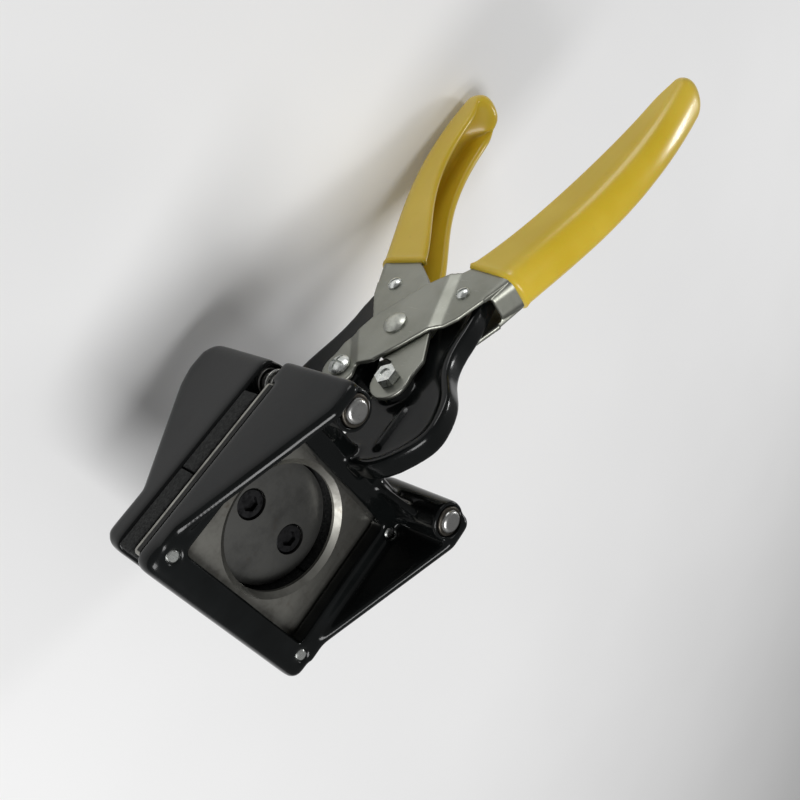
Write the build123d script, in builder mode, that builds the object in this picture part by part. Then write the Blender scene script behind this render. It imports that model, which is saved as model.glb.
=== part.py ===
"""Pliers-type punch that cuts round paper discs for button badges.

Frame: the origin lies on the die's axis at its cutting edge, +Z runs up through the die,
+X points to the nose and +Y to the left, as seen by a hand that holds the grips.
The jaws are drawn fully open. Sizes are in millimetres.
"""
import os
from math import atan2, cos, degrees, radians, sin

from build123d import *

# Punch and die
DISC_RADIUS = 21.5            # radius of the paper disc, and of the die's cutting edge
PUNCH_CLEARANCE = 0.06        # gap between the punch and the cutting edge
PUNCH_DROP = 4.9              # the punch's face lies this far under the cutting edge
LAND = 1.2                    # height of the die's straight wall
RELIEF_RADIUS = 23.5          # the die opens to this radius at its upper face
PLATE_THICK = 2.8
PLATE_FRONT, PLATE_REAR = 33.0, -30.6
PUNCH_SCREWS = [(0, 10.9), (0, -10.9)]

# Head
HALF_WIDTH = 38.5             # half the width of both castings
NOSE_X = 35.7                 # front of both castings
REAR_X = -39.5                # rear of both castings
FRAME_TOP = 10.0              # top of the die casting's flat frame
COLUMN_TOP = 32.6             # top of its two guide columns
COLUMN_RADIUS = 6.9
WALL = 4.0                    # thickness of the die casting's side walls
WINDOW_FRONT, WINDOW_REAR, WINDOW_HALF = 25.0, -22.8, 29.6
SEAT_Z = -9.0                 # top of the punch casting, under the pads and the punch
HEAD_BOTTOM = -44.5
PAD_TOP = -1.6

# Guide posts, which stand in the punch casting and run in the die casting's columns
POST_X, POST_Y = -33.7, 30.3
POST_RADIUS = 4.0
POST_FOOT = -38.0
POSTS = [(POST_X, POST_Y), (POST_X, -POST_Y)]
BUSH_WALL = 1.1
RUNNING_GAP = 0.05
SPRING_SEAT = -24.0
SPRING_BORE = 5.7

# Levers: mirrored about the tool's middle plane, they cross on the centre rivet
MID_Z = -4.2
STROKE = 7.0                  # the die casting comes down this far
PIVOT_X = -59.0               # both front pivots, above and below the middle plane
PIVOT_RISE = 13.2
CENTRE_X = -80.0
SLIDE_BACK, SLIDE_RISE = 18.8, 17.4   # slide pin, measured from the centre rivet
SHEET = 1.8                   # thickness of the levers' steel
CHEEK_OUT = 7.5               # outer face of a lever's cheek, from the middle
CHEEK_IN = CHEEK_OUT - SHEET
LAP_GAP = 0.3                 # air between the crossing cheeks
LAP_IN = CHEEK_OUT + LAP_GAP
LAP_OUT = LAP_IN + SHEET
GRIP_SKIN = 1.3               # thickness of the dipped plastic

# Fasteners
BOLT_RADIUS = 2.0
RIVET_RADIUS = 3.0
SLIDE_PIN_RADIUS = 2.0
HOLE_GAP = 0.08
RIVET_GAP = 0.28              # room at the centre rivet for the crossing levers

ARM_LENGTH = ((CENTRE_X - PIVOT_X) ** 2 + PIVOT_RISE ** 2) ** 0.5
OPEN_ANGLE = degrees(atan2(PIVOT_RISE, PIVOT_X - CENTRE_X))
CLOSED_ANGLE = degrees(atan2(PIVOT_RISE - STROKE / 2,
                             (ARM_LENGTH ** 2 - (PIVOT_RISE - STROKE / 2) ** 2) ** 0.5))
SWING = OPEN_ANGLE - CLOSED_ANGLE
print(f"lever arm {ARM_LENGTH:.3f} mm, each lever swings {SWING:.3f} degrees")

os.makedirs("parts", exist_ok=True)


def save(builder, name):
    """Label a finished sub-part and write its STEP file."""
    builder.part.label = name
    export_step(builder.part, f"parts/{name}.step")


def mirrored(points):
    """The same outline on the other side of the tool's middle plane."""
    return [(x, 2 * MID_Z - z) for x, z in points]


def side_plane(y):
    """A sketch plane parallel to XZ at this Y, with its x along +X and its y along +Z."""
    return Plane(origin=(0, y, 0), x_dir=(1, 0, 0), z_dir=(0, -1, 0))


def travel_of_slide_pin():
    """How far a slide pin moves back along its slot while the jaws close."""
    reach = (CENTRE_X - SLIDE_BACK - PIVOT_X, SLIDE_RISE + PIVOT_RISE)
    turned = reach[0] * cos(radians(SWING)) - reach[1] * sin(radians(SWING))
    return reach[0] - turned


SLIDE_TRAVEL = travel_of_slide_pin()
UPPER_PIVOT_Z = MID_Z + PIVOT_RISE      # fixed in the die casting, carries the lower lever
LOWER_PIVOT_Z = MID_Z - PIVOT_RISE      # fixed in the punch casting, carries the upper lever
SLIDE_X = CENTRE_X - SLIDE_BACK

# The castings' tails, seen from the side: outer edge from front to rear, then inner edge back
TAIL_TOP = [(-27.0, 12.0), (-30.0, 24.0), (-37.5, 31.6), (-45.0, 35.8), (-53.5, 35.6), (-62.0, 32.2),
            (-68.5, 26.8), (-75.5, 23.6), (-88.0, 22.2), (-100.0, 20.0), (-109.5, 18.4)]
TAIL_BOTTOM = [(-34.0, -37.0), (-46.0, -41.3), (-58.0, -40.8), (-71.0, -36.6), (-80.0, -34.4),
               (-92.0, -33.4), (-100.0, -31.6), (-109.5, -28.5)]
TAIL_UNDER = [(-109.4, 8.5), (-72.0, 7.2), (-66.5, 4.0), (-59.0, 1.2), (-50.0, 1.0), (-34.0, 1.0)]
TAIL_FRONT = [(-31.0, 1.0), (-31.0, 12.0)]          # where the upper tail meets the die casting
TAIL_WEB = 3.0                # half the thickness of the upper tail's web
TAIL_RIM = 4.6                # half the width of the tails' rims
RIM_THICK = 3.2
BOSS_RADIUS = 7.0
BOSS_HALF = CHEEK_IN - LAP_GAP
SLOT_LENGTH_GAP = 1.0
SLOT_WIDTH_GAP = 0.6


def inset(points, amount):
    """The same points, each moved sideways to the left of the run of the line."""
    moved = []
    for i, here in enumerate(points):
        before = Vector(*points[max(i - 1, 0)])
        after = Vector(*points[min(i + 1, len(points) - 1)])
        run = (after - before).normalized()
        moved.append((here[0] - run.Y * amount, here[1] + run.X * amount))
    return moved


def tail(outer_edge, inner_edge, web_half, pivot_z, slide_z):
    """A casting's tail: web, thicker outer rim, boss for the front pivot, slot for the slide pin."""
    inward = -RIM_THICK if pivot_z < MID_Z else RIM_THICK
    with BuildSketch(side_plane(web_half)) as web:
        with BuildLine():
            outer = Spline(*outer_edge)
            Polyline(outer @ 1, *inner_edge, outer @ 0)
        make_face()
    extrude(web.sketch, amount=2 * web_half)
    with BuildSketch(side_plane(TAIL_RIM)) as rim:
        with BuildLine():
            outer = Spline(*outer_edge)
            inner = Spline(*inset(outer_edge, inward))
            Line(outer @ 0, inner @ 0)
            Line(outer @ 1, inner @ 1)
        make_face()
    extrude(rim.sketch, amount=2 * TAIL_RIM)
    with BuildSketch(side_plane(BOSS_HALF)) as boss:
        with Locations((PIVOT_X, pivot_z)):
            Circle(BOSS_RADIUS)
    extrude(boss.sketch, amount=2 * BOSS_HALF)
    with BuildSketch(side_plane(BOSS_HALF + 1)) as holes:
        with Locations((PIVOT_X, pivot_z)):
            Circle(BOLT_RADIUS + RUNNING_GAP)
        with Locations((SLIDE_X - SLIDE_TRAVEL / 2, slide_z)):
            SlotOverall(SLIDE_TRAVEL + 2 * SLIDE_PIN_RADIUS + SLOT_LENGTH_GAP,
                        2 * SLIDE_PIN_RADIUS + SLOT_WIDTH_GAP)
    extrude(holes.sketch, amount=2 * BOSS_HALF + 2, mode=Mode.SUBTRACT)


# Die casting: flat frame with a square window, side walls that rise to the rear, columns, tail
WALL_SIDE = [(REAR_X, 0.0), (REAR_X, COLUMN_TOP), (-37.0, 34.6), (-28.0, 34.6), (22.0, FRAME_TOP),
             (NOSE_X - 8, FRAME_TOP), (NOSE_X - 8, PLATE_THICK), (PLATE_REAR - 0.2, PLATE_THICK),
             (PLATE_REAR - 0.2, 0.0)]
BEAM_TOP = 12.5
BEAM_REAR = -34.0
NEAR = 0.01                   # edges this near to a face count as lying on it
CORNER_ROUND = 4.0            # rounding of the two front corners, seen from above
FRAME_ROUND = 3.2             # rounding of the frame's top edge at the nose
EDGE_ROUND = 2.0              # rounding of the side walls' top edges
RIM_ROUND = 1.4               # rounding of the tail's rim
RIB_X, RIB_THICK = -31.5, 2.8                       # ribs that brace the columns on the beam
RIB_SIDE = [(12, BEAM_TOP - 1), (27, BEAM_TOP - 1), (27, 25), (12, BEAM_TOP)]
TAIL_RIB_PLACE, TAIL_RIB_SIZE = (-44.5, 19.2), (17, 1.8)
DIE_SCREWS = [(27.8, 32.6), (27.8, -32.6), (-22.5, 34.2), (-22.5, -34.2)]
DIE_SCREW_HOLE = 2.05

with BuildPart() as die_carrier:
    with BuildSketch(Plane.XY.offset(PLATE_THICK)) as frame_sketch:
        with BuildLine():
            FilletPolyline((BEAM_REAR, HALF_WIDTH), (NOSE_X, HALF_WIDTH), (NOSE_X, -HALF_WIDTH),
                           (BEAM_REAR, -HALF_WIDTH), radius=CORNER_ROUND)
            Line((BEAM_REAR, -HALF_WIDTH), (BEAM_REAR, HALF_WIDTH))
        make_face()
    extrude(amount=FRAME_TOP - PLATE_THICK)
    fillet(die_carrier.edges().filter_by(Plane.XY).group_by(Axis.Z)[-1]
           .filter_by_position(Axis.X, 20, NOSE_X + 1), radius=FRAME_ROUND)
    for side in (-1, 1):
        near_face = HALF_WIDTH if side > 0 else -HALF_WIDTH + WALL
        with BuildSketch(side_plane(near_face)):
            with BuildLine():
                Polyline(*WALL_SIDE, close=True)
            make_face()
        extrude(amount=WALL)
    with BuildSketch(Plane.XY):
        with Locations(*POSTS):
            Circle(COLUMN_RADIUS)
    extrude(amount=COLUMN_TOP)
    with BuildSketch(side_plane(POST_Y)):
        with BuildLine():
            Polyline((BEAM_REAR, PLATE_THICK), (BEAM_REAR, BEAM_TOP), (-27.5, BEAM_TOP),
                     (WINDOW_REAR, FRAME_TOP - 1), (WINDOW_REAR, PLATE_THICK), close=True)
        make_face()
    extrude(amount=2 * POST_Y)
    for side in (-1, 1):
        with BuildSketch(Plane(origin=(RIB_X, 0, 0), x_dir=(0, 1, 0), z_dir=(1, 0, 0))):
            with BuildLine():
                Polyline(*[(side * y, z) for y, z in RIB_SIDE], close=True)
            make_face()
        extrude(amount=RIB_THICK)
    tail(TAIL_TOP, TAIL_UNDER + TAIL_FRONT, TAIL_WEB, UPPER_PIVOT_Z, MID_Z + SLIDE_RISE)
    high_edges = die_carrier.edges().filter_by_position(Axis.Z, FRAME_TOP + 0.5, TAIL_TOP[4][1] + 1)
    long_edges = high_edges.filter_by(lambda edge: edge.length > 2)
    fillet(long_edges.filter_by_position(Axis.Y, HALF_WIDTH - NEAR, HALF_WIDTH + NEAR)
           + long_edges.filter_by_position(Axis.Y, -HALF_WIDTH - NEAR, NEAR - HALF_WIDTH), radius=EDGE_ROUND)
    rim_edges = die_carrier.edges().filter_by(lambda edge: edge.length > 20 and edge.center().X < PIVOT_X)
    fillet(rim_edges.filter_by_position(Axis.Y, TAIL_RIM - NEAR, TAIL_RIM + NEAR)
           + rim_edges.filter_by_position(Axis.Y, -TAIL_RIM - NEAR, NEAR - TAIL_RIM), radius=RIM_ROUND)
    with BuildSketch(side_plane(TAIL_RIM)):
        with Locations(TAIL_RIB_PLACE):
            Rectangle(*TAIL_RIB_SIZE)
    extrude(amount=2 * TAIL_RIM)
    with BuildSketch(Plane.XY.offset(PLATE_THICK)):
        with Locations(((WINDOW_FRONT + WINDOW_REAR) / 2, 0)):
            Rectangle(WINDOW_FRONT - WINDOW_REAR, 2 * WINDOW_HALF)
    extrude(amount=FRAME_TOP, mode=Mode.SUBTRACT)
    with BuildSketch(Plane.XY.offset(-1)):
        with Locations(*POSTS):
            Circle(POST_RADIUS + RUNNING_GAP + BUSH_WALL)
    extrude(amount=COLUMN_TOP + 2, mode=Mode.SUBTRACT)
    with BuildSketch(Plane.XY):
        with Locations(*DIE_SCREWS):
            Circle(DIE_SCREW_HOLE)
    extrude(amount=FRAME_TOP + 1, mode=Mode.SUBTRACT)
save(die_carrier, "die_carrier")


# Die plate: hardened steel under the frame, bored for the disc and relieved above the cutting edge
PLATE_HALF = HALF_WIDTH - 0.4
PLATE_CORNER = 1.5
COLUMN_FIT = 0.1              # air between the plate and the columns

with BuildPart() as die_plate:
    with BuildSketch():
        with Locations(((PLATE_FRONT + PLATE_REAR) / 2, 0)):
            RectangleRounded(PLATE_FRONT - PLATE_REAR, 2 * PLATE_HALF, PLATE_CORNER)
        Circle(DISC_RADIUS, mode=Mode.SUBTRACT)
        with Locations(*POSTS):
            Circle(COLUMN_RADIUS + COLUMN_FIT, mode=Mode.SUBTRACT)
    extrude(amount=PLATE_THICK)
    with BuildSketch(Plane.XZ):
        with BuildLine():
            Polyline((0, LAND), (DISC_RADIUS, LAND), (RELIEF_RADIUS, PLATE_THICK),
                     (0, PLATE_THICK), close=True)
        make_face()
    revolve(axis=Axis.Z, mode=Mode.SUBTRACT)
    with Locations(*[Location((x, y, 0), (180, 0, 0)) for x, y in DIE_SCREWS]):
        CounterSinkHole(radius=DIE_SCREW_HOLE, counter_sink_radius=3.9, counter_sink_angle=90)
save(die_plate, "die_plate")

# Countersunk socket screws, driven from under the plate
SCREW_LENGTH = 9.6
SCREW_SUNK = 0.1              # the heads lie this far inside the plate's lower face
SCREW_SIDE = [(0, SCREW_SUNK), (3.7, SCREW_SUNK), (2.0, 1.8), (2.0, SCREW_LENGTH - 0.5),
              (1.5, SCREW_LENGTH), (0, SCREW_LENGTH)]
SOCKET_RADIUS, SOCKET_DEPTH = 1.25, 1.3

with BuildPart() as die_plate_screw:
    with BuildSketch(Plane.XZ):
        with BuildLine():
            Polyline(*SCREW_SIDE, close=True)
        make_face()
    revolve(axis=Axis.Z)
    with BuildSketch(Plane.XY.offset(SCREW_SUNK)):
        RegularPolygon(SOCKET_RADIUS, 6, major_radius=False)
    extrude(amount=SOCKET_DEPTH, mode=Mode.SUBTRACT)
with BuildPart() as die_plate_screws:
    with Locations(*DIE_SCREWS):
        add(die_plate_screw.part)
save(die_plate_screws, "die_plate_screws")

# Guide bushes: bronze sleeves pressed into the columns, with a rounded lip at the top
BUSH_FOOT = 0.2
BUSH_LIP = 0.6
for side, name in ((1, "guide_bush_left"), (-1, "guide_bush_right")):
    with BuildPart() as bush:
        with BuildSketch(Plane.XY.offset(BUSH_FOOT)):
            with Locations((POST_X, side * POST_Y)):
                Circle(POST_RADIUS + RUNNING_GAP + BUSH_WALL)
                Circle(POST_RADIUS + RUNNING_GAP, mode=Mode.SUBTRACT)
        extrude(amount=COLUMN_TOP)
        fillet(bush.edges().group_by(Axis.Z)[-1].sort_by(SortBy.RADIUS)[-1], radius=BUSH_LIP)
    save(bush, name)

# Punch casting: a wedge that is deep at the rear, hollow underneath, with posts, punch and tail
PUNCH_SIDE = [(REAR_X, SEAT_Z), (NOSE_X - 0.4, SEAT_Z), (NOSE_X - 0.4, -14.5), (32.2, -17.8),
              (17.0, -17.8), (-19.5, -42.0), (-26.0, HEAD_BOTTOM), (-34.5, HEAD_BOTTOM),
              (REAR_X, -39.5)]
PUNCH_HALF = HALF_WIDTH - 0.2
PUNCH_CORNER_FRONT, PUNCH_CORNER_REAR = 3.5, 4.0
FLOOR = 8.0                   # casting left between the seat and the hollow
HOLLOW_WALL = 5.0
HOLLOW_FRONT, HOLLOW_REAR = 10.0, REAR_X + HOLLOW_WALL
SPRING_COLUMN = POST_RADIUS + 4.2                   # column left around each post in the hollow
SCREW_BLOCK = (16, 34)        # block left in the hollow for the punch screws
PUNCH_SCREW_HOLE = 3.0
PUNCH_SCREW_GRIP = 17.0

with BuildPart() as punch_carrier:
    with BuildSketch(side_plane(PUNCH_HALF)):
        with BuildLine():
            Polyline(*PUNCH_SIDE, close=True)
        make_face()
    extrude(amount=2 * PUNCH_HALF)
    front_corners = punch_carrier.edges().filter_by(Axis.Z).filter_by_position(Axis.X, 30, 40)
    fillet(front_corners, radius=PUNCH_CORNER_FRONT)
    rear_corners = punch_carrier.edges().filter_by(Axis.Z).filter_by_position(Axis.X, -40, -39)
    fillet(rear_corners, radius=PUNCH_CORNER_REAR)
    with BuildSketch(Plane.XY.offset(SEAT_Z - FLOOR)):
        with Locations(((HOLLOW_REAR + HOLLOW_FRONT) / 2, 0)):
            Rectangle(HOLLOW_FRONT - HOLLOW_REAR, 2 * (HALF_WIDTH - HOLLOW_WALL))
        with Locations(*POSTS):
            Circle(SPRING_COLUMN, mode=Mode.SUBTRACT)
        Rectangle(*SCREW_BLOCK, mode=Mode.SUBTRACT)
    extrude(amount=HEAD_BOTTOM - SEAT_Z + FLOOR - 1, mode=Mode.SUBTRACT)
    with BuildSketch(Plane.XY.offset(SEAT_Z)):
        with Locations(*POSTS):
            Circle(COLUMN_RADIUS)
    extrude(amount=HEAD_BOTTOM - SEAT_Z + 2)
    tail(TAIL_BOTTOM, mirrored(TAIL_UNDER), TAIL_RIM, LOWER_PIVOT_Z, MID_Z - SLIDE_RISE)
    with BuildSketch(Plane.XY.offset(SEAT_Z + 1)):
        with Locations(*POSTS):
            Circle(POST_RADIUS)
    extrude(amount=POST_FOOT - SEAT_Z - 1, mode=Mode.SUBTRACT)
    with BuildSketch(Plane.XY.offset(SEAT_Z + 1)):
        with Locations(*POSTS):
            Circle(SPRING_BORE)
    extrude(amount=SPRING_SEAT - SEAT_Z - 1, mode=Mode.SUBTRACT)
    with BuildSketch(Plane.XY.offset(SEAT_Z + 1)):
        with Locations(*PUNCH_SCREWS):
            Circle(PUNCH_SCREW_HOLE)
    extrude(amount=-PUNCH_SCREW_GRIP - 1, mode=Mode.SUBTRACT)
save(punch_carrier, "punch_carrier")

# Punch: a ground steel disc with two counterbored screw holes
PUNCH_TOP = -PUNCH_DROP
COUNTERBORE_DEPTH = 3.3

with BuildPart() as punch:
    with BuildSketch(Plane.XY.offset(SEAT_Z)):
        Circle(DISC_RADIUS - PUNCH_CLEARANCE)
    extrude(amount=PUNCH_TOP - SEAT_Z)
    with Locations(*[(x, y, PUNCH_TOP) for x, y in PUNCH_SCREWS]):
        CounterBoreHole(radius=3.2, counter_bore_radius=5.4, counter_bore_depth=COUNTERBORE_DEPTH)
save(punch, "punch")

# Cap screws that hold the punch, with a hexagon socket
CAP_RADIUS, CAP_HEIGHT, CAP_CHAMFER = 5.0, 2.7, 0.4
CAP_SHANK_RADIUS, CAP_SHANK = 2.95, 14.0
CAP_SOCKET_RADIUS, CAP_SOCKET_DEPTH = 2.5, 1.8
CAP_SEAT = PUNCH_TOP - COUNTERBORE_DEPTH

with BuildPart() as punch_screw_one:
    with BuildSketch(Plane.XY.offset(CAP_SEAT)):
        Circle(CAP_RADIUS)
    extrude(amount=CAP_HEIGHT)
    chamfer(punch_screw_one.edges().group_by(Axis.Z)[-1], length=CAP_CHAMFER)
    with BuildSketch(Plane.XY.offset(CAP_SEAT)):
        Circle(CAP_SHANK_RADIUS)
    extrude(amount=-CAP_SHANK)
    with BuildSketch(Plane.XY.offset(CAP_SEAT + CAP_HEIGHT)):
        RegularPolygon(CAP_SOCKET_RADIUS, 6, major_radius=False)
    extrude(amount=-CAP_SOCKET_DEPTH, mode=Mode.SUBTRACT)
with BuildPart() as punch_screws:
    with Locations(*PUNCH_SCREWS):
        add(punch_screw_one.part)
save(punch_screws, "punch_screws")

# Stripper pads: two pieces of firm foam, glued on the seat around the punch, that meet at a butt joint
PAD_JOINT = 5.0
PAD_GAP = 0.3
PAD_BORE = DISC_RADIUS + 1.2
PAD_HALF = HALF_WIDTH - 0.6
PAD_FRONT, PAD_REAR = NOSE_X - 1.6, -25.6
for front, rear, name in ((PAD_FRONT, PAD_JOINT + PAD_GAP, "stripper_pad_front"),
                          (PAD_JOINT, PAD_REAR, "stripper_pad_rear")):
    with BuildPart() as pad:
        with BuildSketch(Plane.XY.offset(SEAT_Z)):
            with Locations(((front + rear) / 2, 0)):
                Rectangle(front - rear, 2 * PAD_HALF)
            Circle(PAD_BORE, mode=Mode.SUBTRACT)
        extrude(amount=PAD_TOP - SEAT_Z)
    save(pad, name)

# Guide posts: ground steel, pressed into the punch casting, domed at the top
POST_TOP = COLUMN_TOP + 1.4
POST_DOME = 1.4
for side, tag in ((1, "left"), (-1, "right")):
    with BuildPart() as post:
        with BuildSketch(Plane.XY.offset(POST_FOOT)):
            with Locations((POST_X, side * POST_Y)):
                Circle(POST_RADIUS)
        extrude(amount=POST_TOP - POST_FOOT)
        fillet(post.edges().group_by(Axis.Z)[-1], radius=POST_DOME)
    save(post, f"guide_post_{tag}")

# Return springs: steel coils around the posts, between the two castings
WIRE = 0.45
COIL_GAP = 0.4                # air between the coil and its post
COIL_END_GAP = 0.05
COIL_RADIUS = POST_RADIUS + WIRE + COIL_GAP
COIL_TURNS = 6
for side, tag in ((1, "left"), (-1, "right")):
    coil_low = SPRING_SEAT + WIRE + COIL_END_GAP
    coil_height = -WIRE - COIL_END_GAP - coil_low
    with BuildPart() as spring:
        with BuildLine(Plane(origin=(POST_X, side * POST_Y, coil_low))):
            Helix(pitch=coil_height / COIL_TURNS, height=coil_height, radius=COIL_RADIUS)
        with BuildSketch(Plane(origin=(POST_X + COIL_RADIUS, side * POST_Y, coil_low),
                               x_dir=(1, 0, 0), z_dir=(0, 1, 0))):
            Circle(WIRE)
        sweep()
    save(spring, f"return_spring_{tag}")

# Handles, seen from the side: the back and the open rim of each dipped grip, and its rounded tip
UPPER_BACK = [(-107.3, 30.0), (-128.0, 37.6), (-150.0, 44.2), (-176.0, 47.6), (-205.0, 46.2),
              (-214.8, 44.9)]
UPPER_RIM = [(-110.8, 7.2), (-124.0, 15.0), (-150.0, 24.6), (-178.0, 32.2), (-204.0, 35.3),
             (-216.0, 35.6)]
LOWER_BACK = [(-107.6, -39.2), (-128.0, -48.5), (-149.0, -57.5), (-176.0, -65.2), (-204.0, -67.3),
              (-214.2, -66.6)]
LOWER_RIM = [(-110.7, -15.2), (-122.0, -21.4), (-144.0, -35.8), (-170.0, -47.2), (-203.0, -52.5),
             (-214.8, -53.4)]
TIP_ROUND = 4.2
GRIP_HALF = CHEEK_OUT + GRIP_SKIN
GRIP_EDGE = 3.0               # rounding of its long edges
GRIP_LINING = 0.6             # thickness of the plastic inside the channel
GROOVE_END_X = -209.0
GRIP_EDGE_FRONT = -112.0      # the rounding covers only long edges behind this X
UPPER_TO_RIM = (0.3, -0.95)   # direction from the back of each handle to its open rim
LOWER_TO_RIM = (0.35, 0.94)

# The levers' bare steel, seen from the side: rear edge from the grip to the tab, front edge back
UPPER_ARM_REAR = [(-104.5, 2.1), (-99.1, -4.2), (-81.2, -17.5), (-73.7, -20.0), (-71.8, -22.8),
                  (-68.7, -24.3), (-63.0, -24.4)]
UPPER_ARM_FRONT = [(-60.6, -9.6), (-63.6, -3.0), (-72.0, 4.3), (-82.9, 12.9), (-88.4, 18.1),
                   (-100.0, 24.4)]
LOWER_ARM_REAR = [(-103.0, -7.0), (-95.0, 0.0), (-82.0, 10.2), (-69.0, 17.0), (-62.0, 16.4)]
LOWER_ARM_FRONT = [(-66.0, 4.0), (-66.8, -2.5), (-82.7, -20.4), (-92.4, -28.3), (-99.4, -31.8)]
TAB_RADIUS = 8.0
UPPER_SPINE_X = -100.0        # the closed back of each channel starts here
LOWER_SPINE_X = -104.0
REAR_FOLD, REAR_FOLD_ANGLE = (-94.6, 8.6), 17.4     # first bend of the upper lever's cheeks
FRONT_FOLD, FRONT_FOLD_ANGLE = (-69.0, -17.5), 39.5  # and the second, near its tab
RAMP = 4.1                    # length of each bend's slope
FAR = 150.0                   # beyond the whole handle


def grip_face(back, rim, amount):
    """Side view of a grip's outside, or of its inside when moved in, with a rounded tip."""
    with BuildSketch() as face:
        with BuildLine():
            spine = Spline(*inset(back, amount))
            edge = Spline(*inset(rim, -amount))
            Line(spine @ 1, edge @ 1)
            Line(edge @ 0, spine @ 0)
        make_face()
        tip_corners = face.vertices().group_by(Axis.X)[0] + face.vertices().group_by(Axis.X)[1]
        fillet(tip_corners, radius=TIP_ROUND)
    return face.sketch


def steel_face(back, rim, amount, rear_edge, front_edge, tab_centre):
    """Side view of a lever's steel: the part inside the grip, its arm and its round tab."""
    with BuildSketch() as face:
        with BuildLine():
            spine = Spline(*inset(back, amount)[:-1])
            edge = Spline(*inset(rim, -amount)[:-1])
            Line(spine @ 1, edge @ 1)
            Polyline(edge @ 0, *rear_edge, tab_centre, *front_edge, spine @ 0)
        make_face()
        with Locations(tab_centre):
            Circle(TAB_RADIUS)
    return face.sketch


def folded_block(fold, angle, side, flat, raised):
    """A block bounded by y = +-flat on one side of a bend and by y = +-raised past the ramp."""
    along = Vector(cos(radians(angle)), 0, sin(radians(angle)))
    across = Vector(side * along.Z, 0, -side * along.X)
    with BuildPart() as block:
        with BuildSketch(Plane(origin=(fold[0], 0, fold[1]), x_dir=across, z_dir=along)):
            with BuildLine():
                Polyline((-FAR, -flat), (-RAMP / 2, -flat), (RAMP / 2, -raised), (FAR, -raised),
                         (FAR, raised), (RAMP / 2, raised), (-RAMP / 2, flat), (-FAR, flat), close=True)
            make_face()
        extrude(amount=FAR, both=True)
        with Locations((CENTRE_X - side * FAR / 2, 0, 0)):
            Box(FAR, FAR, 2 * FAR, mode=Mode.INTERSECT)
    return block.part


def upper_cheeks(flat, raised):
    """The space between the upper lever's cheek faces, which bulges where it crosses the other."""
    with BuildPart() as space:
        add(folded_block(REAR_FOLD, REAR_FOLD_ANGLE, 1, flat, raised))
        add(folded_block(FRONT_FOLD, FRONT_FOLD_ANGLE, -1, flat, raised))
    return space.part


def pocket(steel, spine_x, toward_rim, space):
    """What is removed from a lever's outline: all between the cheeks except the channel's back."""
    with BuildPart() as inside:
        with BuildSketch(side_plane(FAR / 2)) as moved:
            add(steel.moved(Location((toward_rim[0] * SHEET, toward_rim[1] * SHEET))))
            with Locations((spine_x + FAR / 2, 0)):
                Rectangle(FAR, 2 * FAR)
        extrude(moved.sketch, amount=FAR)
        add(space, mode=Mode.INTERSECT)
    return inside.part


def lever(steel, block, inside, pivot, slide_z, centre_hole):
    """A lever: side outline, bent block, hollow inside, and the holes for its pins."""
    with BuildSketch(side_plane(FAR / 2)) as outline:
        add(steel)
    extrude(outline.sketch, amount=FAR)
    add(block, mode=Mode.INTERSECT)
    add(inside, mode=Mode.SUBTRACT)
    with BuildSketch(side_plane(FAR / 2)) as holes:
        with Locations(pivot):
            Circle(BOLT_RADIUS + HOLE_GAP)
        with Locations((SLIDE_X, slide_z)):
            Circle(SLIDE_PIN_RADIUS)
        with Locations((CENTRE_X, MID_Z)):
            Circle(centre_hole)
    extrude(holes.sketch, amount=FAR, mode=Mode.SUBTRACT)


upper_grip_side = grip_face(UPPER_BACK, UPPER_RIM, 0)
lower_grip_side = grip_face(LOWER_BACK, LOWER_RIM, 0)
upper_steel = steel_face(UPPER_BACK, UPPER_RIM, GRIP_SKIN, UPPER_ARM_REAR, UPPER_ARM_FRONT,
                         (PIVOT_X, LOWER_PIVOT_Z))
lower_steel = steel_face(LOWER_BACK, LOWER_RIM, -GRIP_SKIN, LOWER_ARM_REAR, LOWER_ARM_FRONT,
                         (PIVOT_X, UPPER_PIVOT_Z))
lower_space = Box(2 * FAR, 2 * CHEEK_IN, 2 * FAR).moved(Location((-FAR / 2, 0, 0)))
lower_block = Box(2 * FAR, 2 * CHEEK_OUT, 2 * FAR).moved(Location((-FAR / 2, 0, 0)))
upper_pocket = pocket(upper_steel, UPPER_SPINE_X, UPPER_TO_RIM, upper_cheeks(CHEEK_IN, LAP_IN))
lower_pocket = pocket(lower_steel, LOWER_SPINE_X, LOWER_TO_RIM, lower_space)

with BuildPart() as upper_lever_channel:
    lever(upper_steel, upper_cheeks(CHEEK_OUT, LAP_OUT), upper_pocket, (PIVOT_X, LOWER_PIVOT_Z),
          MID_Z + SLIDE_RISE, RIVET_RADIUS)
save(upper_lever_channel, "upper_lever_channel")

with BuildPart() as lower_lever_channel:
    lever(lower_steel, lower_block, lower_pocket, (PIVOT_X, UPPER_PIVOT_Z),
          MID_Z - SLIDE_RISE, RIVET_RADIUS + RIVET_GAP)
save(lower_lever_channel, "lower_lever_channel")

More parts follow.
